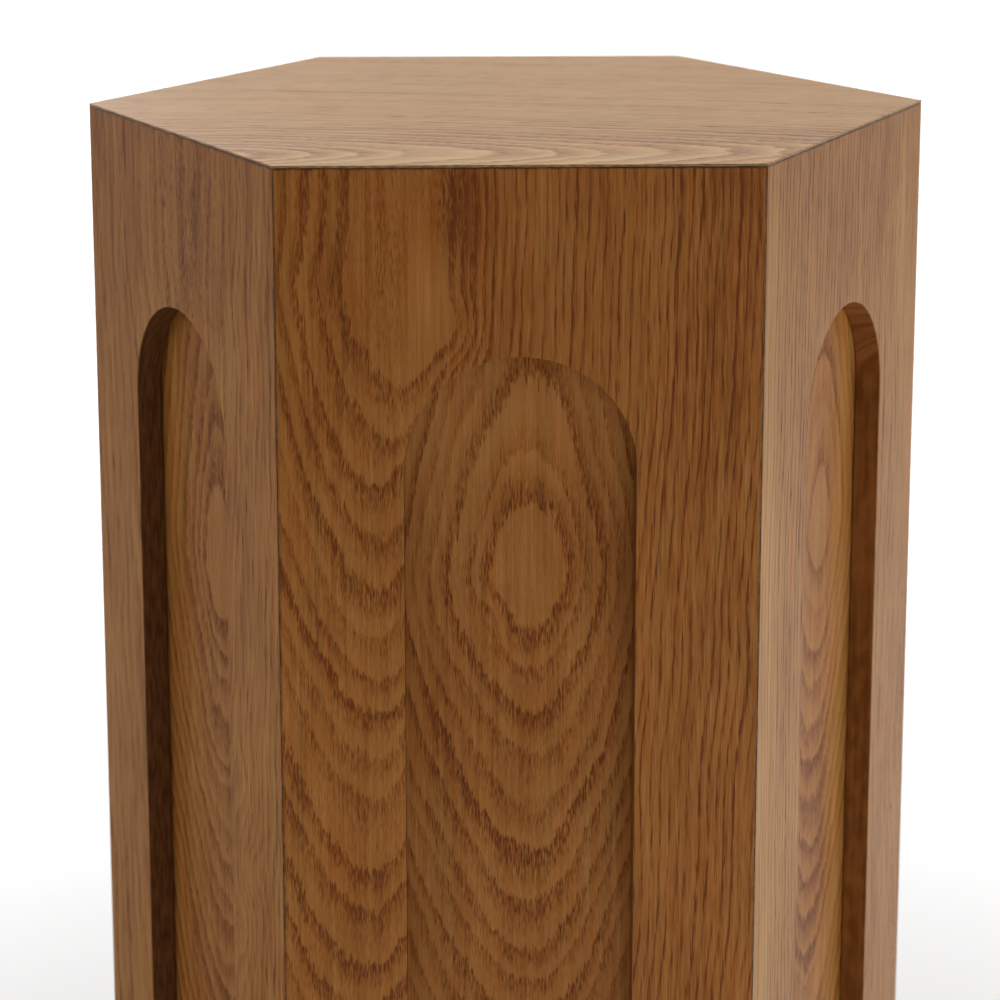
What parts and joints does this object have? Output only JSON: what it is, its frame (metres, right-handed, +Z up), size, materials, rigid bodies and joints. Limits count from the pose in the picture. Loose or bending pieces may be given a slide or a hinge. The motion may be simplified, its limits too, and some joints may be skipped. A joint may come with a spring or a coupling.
{
  "type": "display plinth",
  "caption": "Hexagonal wood-veneer display plinth with an arched recess in each face, a flat top and levelling feet.",
  "frame": {"origin": "on the floor under the middle of the plinth, at the underside of the levelling feet fully screwed in", "axes": "+Z up, -Y the outward normal of the front face, +X to the viewer's right of that face"},
  "size_m": [0.3, 0.2598, 0.6],
  "materials": {
    "ash_veneer": "satin lacquer on open-pored ash",
    "recess_veneer": "satin lacquer on open-pored ash",
    "core_board": "bare fibreboard",
    "block_timber": "planed softwood",
    "zinc_steel": "zinc plated",
    "black_nylon": "moulded nylon"
  },
  "bodies": {
    "carcass": {"top_veneer": "ash_veneer", "top_core": "core_board", "side_panel_1": "ash_veneer", "side_panel_2": "ash_veneer", "side_panel_3": "ash_veneer", "side_panel_4": "ash_veneer", "side_panel_5": "ash_veneer", "side_panel_6": "ash_veneer", "recess_panel_1": "recess_veneer", "recess_panel_2": "recess_veneer", "recess_panel_3": "recess_veneer", "recess_panel_4": "recess_veneer", "recess_panel_5": "recess_veneer", "recess_panel_6": "recess_veneer", "corner_block_1": "block_timber", "corner_block_2": "block_timber", "corner_block_3": "block_timber", "corner_block_4": "block_timber", "corner_block_5": "block_timber", "corner_block_6": "block_timber", "mid_stiffener": "core_board", "base_panel": "core_board", "top_screw_1": "zinc_steel", "top_screw_2": "zinc_steel", "top_screw_3": "zinc_steel", "top_screw_4": "zinc_steel", "top_screw_5": "zinc_steel", "top_screw_6": "zinc_steel", "base_screw_1": "zinc_steel", "base_screw_2": "zinc_steel", "base_screw_3": "zinc_steel", "base_screw_4": "zinc_steel", "base_screw_5": "zinc_steel", "base_screw_6": "zinc_steel", "foot_insert_1": "zinc_steel", "foot_insert_2": "zinc_steel", "foot_insert_3": "zinc_steel", "foot_insert_4": "zinc_steel", "foot_insert_5": "zinc_steel", "foot_insert_6": "zinc_steel"},
    "foot_pad_1": {"foot_pad_1": "black_nylon"},
    "foot_stud_1": {"foot_stud_1": "zinc_steel"},
    "foot_pad_2": {"foot_pad_2": "black_nylon"},
    "foot_stud_2": {"foot_stud_2": "zinc_steel"},
    "foot_pad_3": {"foot_pad_3": "black_nylon"},
    "foot_stud_3": {"foot_stud_3": "zinc_steel"},
    "foot_pad_4": {"foot_pad_4": "black_nylon"},
    "foot_stud_4": {"foot_stud_4": "zinc_steel"},
    "foot_pad_5": {"foot_pad_5": "black_nylon"},
    "foot_stud_5": {"foot_stud_5": "zinc_steel"},
    "foot_pad_6": {"foot_pad_6": "black_nylon"},
    "foot_stud_6": {"foot_stud_6": "zinc_steel"}
  },
  "joints": [
    {"name": "foot_1_extend", "type": "slide", "parent": "carcass", "child": "foot_pad_1", "axis": [0, 0, -1], "range_m": [0, 0.01]},
    {"name": "foot_1_turn", "type": "hinge", "parent": "foot_pad_1", "child": "foot_stud_1", "pos_m": [0.0515, -0.0892, 0.003], "axis": [0, 0, -1], "range_deg": [0, 2880]},
    {"name": "foot_2_extend", "type": "slide", "parent": "carcass", "child": "foot_pad_2", "axis": [0, 0, -1], "range_m": [0, 0.01]},
    {"name": "foot_2_turn", "type": "hinge", "parent": "foot_pad_2", "child": "foot_stud_2", "pos_m": [0.103, 0, 0.003], "axis": [0, 0, -1], "range_deg": [0, 2880]},
    {"name": "foot_3_extend", "type": "slide", "parent": "carcass", "child": "foot_pad_3", "axis": [0, 0, -1], "range_m": [0, 0.01]},
    {"name": "foot_3_turn", "type": "hinge", "parent": "foot_pad_3", "child": "foot_stud_3", "pos_m": [0.0515, 0.0892, 0.003], "axis": [0, 0, -1], "range_deg": [0, 2880]},
    {"name": "foot_4_extend", "type": "slide", "parent": "carcass", "child": "foot_pad_4", "axis": [0, 0, -1], "range_m": [0, 0.01]},
    {"name": "foot_4_turn", "type": "hinge", "parent": "foot_pad_4", "child": "foot_stud_4", "pos_m": [-0.0515, 0.0892, 0.003], "axis": [0, 0, -1], "range_deg": [0, 2880]},
    {"name": "foot_5_extend", "type": "slide", "parent": "carcass", "child": "foot_pad_5", "axis": [0, 0, -1], "range_m": [0, 0.01]},
    {"name": "foot_5_turn", "type": "hinge", "parent": "foot_pad_5", "child": "foot_stud_5", "pos_m": [-0.103, 0, 0.003], "axis": [0, 0, -1], "range_deg": [0, 2880]},
    {"name": "foot_6_extend", "type": "slide", "parent": "carcass", "child": "foot_pad_6", "axis": [0, 0, -1], "range_m": [0, 0.01]},
    {"name": "foot_6_turn", "type": "hinge", "parent": "foot_pad_6", "child": "foot_stud_6", "pos_m": [-0.0515, -0.0892, 0.003], "axis": [0, 0, -1], "range_deg": [0, 2880]}
  ],
  "couplings": [
    {"joint": "foot_1_turn", "follows": "foot_1_extend", "rad_per_m": 5026.5},
    {"joint": "foot_2_turn", "follows": "foot_2_extend", "rad_per_m": 5026.5},
    {"joint": "foot_3_turn", "follows": "foot_3_extend", "rad_per_m": 5026.5},
    {"joint": "foot_4_turn", "follows": "foot_4_extend", "rad_per_m": 5026.5},
    {"joint": "foot_5_turn", "follows": "foot_5_extend", "rad_per_m": 5026.5},
    {"joint": "foot_6_turn", "follows": "foot_6_extend", "rad_per_m": 5026.5}
  ]
}
